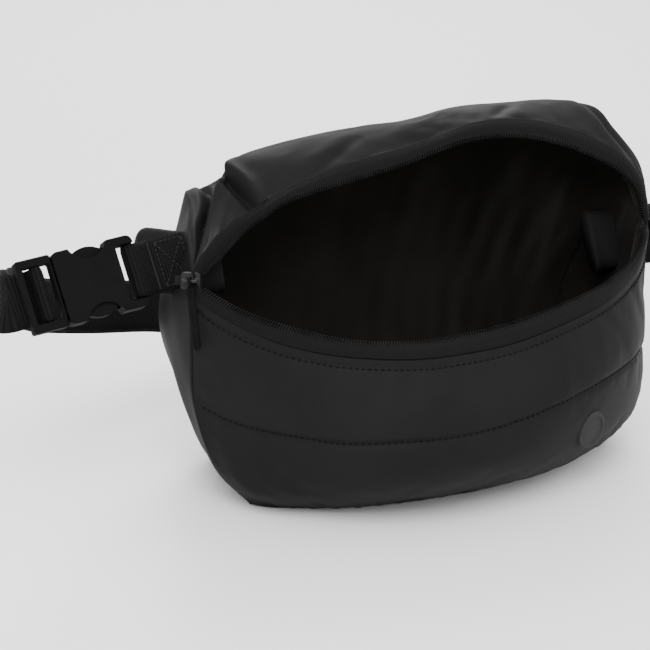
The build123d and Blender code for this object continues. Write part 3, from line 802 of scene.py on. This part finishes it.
def tape(name, lip, edge, node, lift):
    """Woven tape from the coil to the panel's edge, a little proud in its middle."""
    shares = np.linspace(0, 1, 320)
    inner, outer = line_at(lip, shares), line_at(edge, shares)
    middle = (inner + outer) / 2 + np.array(lift)
    grid = smooth_rows(np.stack([inner, middle, outer]), np.linspace(0, 2, 14))
    if node == "zip_tape_lower":
        grid = grid[::-1]
    made = cloth_sheet(name, [grid], 0.7)
    return dress(made, TAPE, nodes=[node])


tape("tape_lower", LIP_LOWER, EDGE_LOWER, "zip_tape_lower", (0, -0.6, 0.8))
tape("tape_upper", LIP_UPPER, EDGE_UPPER, "zip_tape_upper", (0, -0.8, 0.6))
PAST_SLIDER = np.linspace(0.024, 0.985, 900)
for side, lip in [("lower", LIP_LOWER), ("upper", LIP_UPPER)]:
    dress(coil(f"coil_{side}", line_at(lip, PAST_SLIDER), 1.15, 0.42, 1.35), COIL,
          nodes=[f"zip_coil_{side}"])

# the slider's own directions: along its travel, and out of its face
TRAVEL = unit([0.908, -0.418, 0])
PIVOT = np.array([-124.09, -18.53, 117.96])
PULL_DOWN = unit([0.05, -0.12, -1.0])
PULL_ENDS = (2.2, 34.0)     # how far from the pivot the bar starts and stops


def zip_pull():
    """A long narrow rubber pull with a groove down it, and the eye that goes round the bail."""
    turn = np.linspace(0, 2 * math.pi, 40)
    front = np.cross(TRAVEL, PULL_DOWN)
    eye = PIVOT + 2.0 * (np.cos(turn)[:, None] * PULL_DOWN + np.sin(turn)[:, None] * front)
    ring = np.arange(8) * math.pi / 4
    eye_ring = sweep("pull_eye", eye, TRAVEL, 0.55 * np.stack([1.5 * np.cos(ring), np.sin(ring)], -1), False)
    places = np.linspace(*PULL_ENDS, 60)
    centre = PIVOT + places[:, None] * PULL_DOWN
    x = np.linspace(-1, 1, 15)
    groove = 0.95 - 0.55 * np.exp(-(x / 0.38) ** 2) - 0.5 * np.abs(x) ** 8
    section = np.concatenate([np.stack([x * 1.9, groove], -1), np.stack([x[::-1] * 1.9, -groove[::-1]], -1)])
    bar = sweep("pull_bar", centre, TRAVEL, section)
    soften_ends(bar, *(PIVOT + end * PULL_DOWN for end in PULL_ENDS), 2.4)
    return joined("pull", [bar, eye_ring])


def soften_ends(thing, start, end, reach):
    """Rounds both ends of a swept bar in plan."""
    axis = unit(end - start)
    total = np.linalg.norm(end - start)
    co = np.empty(len(thing.data.vertices) * 3)
    thing.data.vertices.foreach_get("co", co)
    co = co.reshape(-1, 3) / MM
    place = (co - start) @ axis
    near = np.clip(np.minimum(place, total - place) / reach, 0.03, 1)
    size = np.sqrt(1 - (1 - near) ** 2)
    on_axis = start + place[:, None] * axis
    co = on_axis + (co - on_axis) * size[:, None]
    thing.data.vertices.foreach_set("co", (co * MM).ravel())
    thing.data.update()


def joined(name, things):
    """Several meshes as one object."""
    with bpy.context.temp_override(active_object=things[0], selected_editable_objects=things):
        bpy.ops.object.join()
    things[0].name = name
    return things[0]


dress(zip_pull(), PULL, "pull", ["zip_pull"])
dress(moulded("slider", "zip_slider", 0.22, 3), METAL, "slider", ["zip_slider"])
dress(moulded("chain_end", "zip_chain_end", 0.25, 2), COIL, "bag", ["zip_chain_end"])


# --- stitching -----------------------------------------------------------------------------

def seam_row(name, grid, row, first=4, last=-4, lift=0.15, **size):
    """Stitches along one row of a panel."""
    line = grid[row, first:last] + grid_normals(grid)[row, first:last] * lift
    made = stitches(name, line, grid_normals(grid)[row, first:last], **size)
    return dress(made, THREAD)


seam_row("stitch_top", FRONT, 6)
seam_row("stitch_quilt", FRONT, QUILT_ROW)
seam_row("stitch_back", BACK, 9, 14, -14)
for number, row in enumerate(BACK_ROWS):
    seam_row(f"stitch_back_channel_{number}", BACK, row, 8, -8)


# --- belt: tabs, wings, buckle and strap -----------------------------------------------------

BUCKLE_AT = np.array([-142, 4, 118.0])
ALONG = unit([-0.99, -0.12, -0.07])
FRONTWARD = unit(np.cross([-0.13, 0.50, 0.856], ALONG))
UPWARD = np.cross(ALONG, FRONTWARD)
STRAP_UP = unit([0.024, 0.515, 0.857])
BUCKLE_AXES = np.stack([ALONG, FRONTWARD, UPWARD])
WEBBING_WIDE = 26.0


def belt_points(route):
    """Places in the buckle's section: along the belt, and towards the front."""
    route = np.asarray(route, float)
    return BUCKLE_AT + route[:, :1] * ALONG + route[:, 1:] * FRONTWARD


def webbing(name, centre, wide, thickness=1.7, step=1.2):
    """A ribbon of webbing through given centre points, evenly stepped."""
    at = np.linspace(0, len(centre) - 1, 30 * len(centre))
    fine = smooth_rows(centre, at)
    wide = smooth_rows(np.broadcast_to(wide, np.shape(centre)), at)
    places = np.linspace(0, lengths(fine)[-1], int(lengths(fine)[-1] / step))
    made = sweep(name, at_run(fine, fine, places), at_run(fine, wide, places),
                 ribbon_section(WEBBING_WIDE, thickness))
    print(name, "webbing", round(lengths(fine)[-1]), "mm")
    return made, lengths(fine)[-1] * MM


TAB_ROUTE = [(-25.5, 3.6), (-16, 2.7), (-8, 1.8), (-4, 2.6), (-0.5, 3.45), (2.6, 3.4), (4.4, 2.0), (4.8, 0),
             (4.4, -2.0), (2.6, -3.4), (-0.5, -3.45), (-4, -2.4), (-8, -0.2), (-16, 0.8), (-25.5, 1.8)]
tab, tab_length = webbing("tab_left_webbing", belt_points(TAB_ROUTE), UPWARD, 1.6, 0.8)
dress(tab, WEBBING, nodes=["tab_left"])


def tab_stitches():
    """Box with a cross in it, and a bartack beside the loop."""
    made = []
    box = [(-24.2, -10.8), (-10.5, -10.8), (-10.5, 10.8), (-24.2, 10.8), (-24.2, -10.8)]
    lines = [box[k:k + 2] for k in range(4)] + [[box[0], box[2]], [box[3], box[1]]]
    lines += [[(-7.6 + 0.9 * (k % 2), -11.5 + k * 0.5), (-7.6 + 0.9 * ((k + 1) % 2), -11 + k * 0.5)]
              for k in range(46)]
    for number, ((x0, z0), (x1, z1)) in enumerate(lines):
        share = np.linspace(0, 1, 12)[:, None]
        x = x0 + (x1 - x0) * share
        height = np.interp(x, [-25.5, -16, -8, -6], [4.4, 3.55, 2.7, 2.9])
        line = BUCKLE_AT + x * ALONG + (z0 + (z1 - z0) * share) * UPWARD + height * FRONTWARD
        pitch = 2.2 if number < 6 else 1.0
        made.append(stitches(f"tab_stitch_{number}", line, np.broadcast_to(FRONTWARD, line.shape), pitch,
                             0.85 * pitch, 0.3))
    return joined("stitch_tab", made)


dress(tab_stitches(), THREAD_TAB)

# where the webbing goes round the plug's middle bar: strap, bar, then the free end
WRAP = [(60.5, -4.5), (56, -4.2), (52.8, -3.0), (51.6, -0.5), (51.2, 1.8), (49.3, 3.1), (47.3, 2.2), (46.7, 0),
        (46.6, -2.6), (48.6, -5.0), (54, -6.3), (60.5, -6.9)]
STRAP_START = BUCKLE_AT + ALONG * 63.4 - FRONTWARD * 5.2
STRAP_FRONT = unit(np.cross(STRAP_UP, [-1, 0, 0]))
ROUTE = [(1.5, -2.5), (2.5, -11), (-4, -25), (-22, -50), (-56, -78), (-98, -104), (-136, -136), (-176, -164),
         (-224, -180), (-274, -176), (-318, -148), (-344, -104), (-354, -60), (-355, -24)]
BELT_RIGHT = np.array([136, 6, 99.0])
TAIL_COUNT = 8
TAIL_ASIDE = 3.3


def strap():
    """Free end, out round the ladder bar and back, then round behind the bag to its other side."""
    def in_space(points):
        points = np.asarray(points, float)
        lift = np.interp(-points[:, 1], [4, 20, 50, 110, 165], [0, 9, 7, 7, 0])[:, None]
        return (STRAP_START + points[:, :1] * np.array([-1.0, 0, 0]) + points[:, 1:] * STRAP_FRONT
                + np.where(points[:, :1] > -190, lift, 0) * STRAP_UP)
    tail = np.asarray(ROUTE[:TAIL_COUNT], float)
    direction = unit(np.gradient(tail, axis=0))
    inside = np.stack([direction[:, 1], -direction[:, 0]], -1)
    sway = np.linspace(0, 1, TAIL_COUNT)[:, None] ** 2 * 5
    tail = tail + inside * (TAIL_ASIDE + sway)
    wrap = belt_points(WRAP)
    centre = np.concatenate([in_space(tail)[::-1], wrap[::-1], in_space(ROUTE), [BELT_RIGHT + [6, 0, 0]],
                             [BELT_RIGHT]])
    lean = np.clip(1 - np.arange(len(ROUTE) + 2) / 4, 0, 1)[:, None]
    upright = unit(STRAP_UP + lean * np.array([0.26, -0.10, 0]))
    wide = np.concatenate([upright[:TAIL_COUNT][::-1], np.broadcast_to(UPWARD, wrap.shape), upright])
    return webbing("waist_strap", centre, wide)


belt, belt_length = strap()
belt.data.materials.append(WEBBING)
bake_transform(belt)
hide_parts("strap", "strap_tail", "strap_wrap")

for name, node, body in [("socket", "buckle_socket", "bag"), ("plug_frame", "buckle_plug", "plug"),
                         ("prong_up", "buckle_prong_upper", "prong_upper"),
                         ("prong_low", "buckle_prong_lower", "prong_lower")]:
    dress(moulded(name, node, 0.42, 4, BUCKLE_AXES), BUCKLE, body, [node])

dress(moulded("tab_right_webbing", "tab_right", 0.5, 3), WEBBING, nodes=["tab_right"])


def wing(name, node, line, wide, seed):
    """Padded wing: a flat roll of wadded cloth, closed and rounded at its outer end."""
    steps, sides = 90, 72
    half_wide, half_thick, rounding = 16.5, 6.0, 7.0
    centre = line_at(line, np.linspace(0, 1, steps))
    turn = np.linspace(0, 2 * math.pi, sides + 1)[:-1]
    section = np.stack([np.sign(np.cos(turn)) * np.abs(np.cos(turn)) ** 0.55 * half_wide,
                        np.sign(np.sin(turn)) * np.abs(np.sin(turn)) ** 0.85 * half_thick], -1)
    thing = sweep(name, centre, wide, section)
    left = np.linspace(1, 0, steps) * lengths(centre)[-1] / rounding
    waist = 1 - 0.06 * np.sin(np.linspace(0, 3.1, steps))
    size = np.sqrt(1 - (1 - np.clip(left, 0.02, 1)) ** 2) * waist
    co = np.empty(len(thing.data.vertices) * 3)
    thing.data.vertices.foreach_get("co", co)
    co = co.reshape(steps, sides, 3) / MM
    ripple = 0.05 * waves(np.linspace(0, 9, steps)[:, None], turn[None, :] / 2, 6, 0.5, 1.8, seed)
    ripple = ripple * np.sin(turn / 2)[None, :] ** 2
    co = centre[:, None] + (co - centre[:, None]) * (size[:, None] * (1 + ripple))[..., None]
    thing.data.vertices.foreach_set("co", (co * MM).ravel())
    thing.data.update()
    dress(thing, SHELL, nodes=[node])


LEFT_WING = belt_points([(-44, -7), (-33, -8.8), (-22, -9.8), (-12, -10.2), (-4, -10.2)])
LEFT_WING = LEFT_WING + np.array([[-3.0], [-1.6], [1.6], [5.0], [6.6]]) * UPWARD
wing("wing_left_pad", "wing_left", LEFT_WING, UPWARD, 51)
RIGHT_BACK = unit(np.cross(STRAP_UP, [1, 0, 0]))
wing("wing_right_pad", "wing_right", np.array([121, 6, 99.0]) + 7.4 * RIGHT_BACK + 3.0 * STRAP_UP
     + np.array([[-16, 0, 0], [-8, 0, 0], [0, 0, 0], [7, 0, 0], [13, 0, 0.0]]), STRAP_UP, 52)


# --- badge ---------------------------------------------------------------------------------

BADGE_X, BADGE_Z = 61.0, 35.0
BADGE_HALF = (8.4, 11.5)    # half width and half height


def badge():
    """Plain oval rubber badge with a raised rim, bent to lie on the cloth."""
    apart = np.abs(FRONT[..., 0] - BADGE_X) + np.abs(FRONT[..., 2] - BADGE_Z)
    row, column = np.unravel_index(np.argmin(apart), apart.shape)
    out = unit(grid_normals(FRONT)[row - 12:row + 13, column - 8:column + 9].mean(axis=(0, 1)))
    centre = FRONT[row, column] + 0.5 * out
    out = unit(out + np.array([-0.10, -0.20, 0.04]))
    across = unit(np.cross([-0.24, 0, 1], out))
    up = np.cross(out, across)
    profile = [(0, 1.0), (0.25, 1.0), (0.66, 1.0), (0.72, 0.95), (0.76, 1.15), (0.80, 1.75), (0.86, 1.9),
               (0.92, 1.85), (0.97, 1.5), (1.0, 1.0), (1.0, -2.4)]
    sides = 64
    turn = np.arange(sides) * 2 * math.pi / sides
    points = []
    for share, height in profile:
        share = max(share, 0.02)
        x, z = BADGE_HALF[0] * share * np.cos(turn), BADGE_HALF[1] * share * np.sin(turn)
        bend = -(x ** 2 / 110 + z ** 2 / 150)
        points.append(centre + x[:, None] * across + z[:, None] * up + (height + bend)[:, None] * out)
    faces = [(r * sides + c, (r + 1) * sides + c, (r + 1) * sides + (c + 1) % sides,
              r * sides + (c + 1) % sides) for r in range(len(profile) - 1) for c in range(sides)]
    faces.append(tuple(range(sides)))
    thing = mesh_object("badge_plate", np.concatenate(points), faces)
    more = thing.modifiers.new("finer", "SUBSURF")
    more.levels = 1
    return apply_modifiers(thing)


dress(badge(), BADGE, nodes=["badge"])
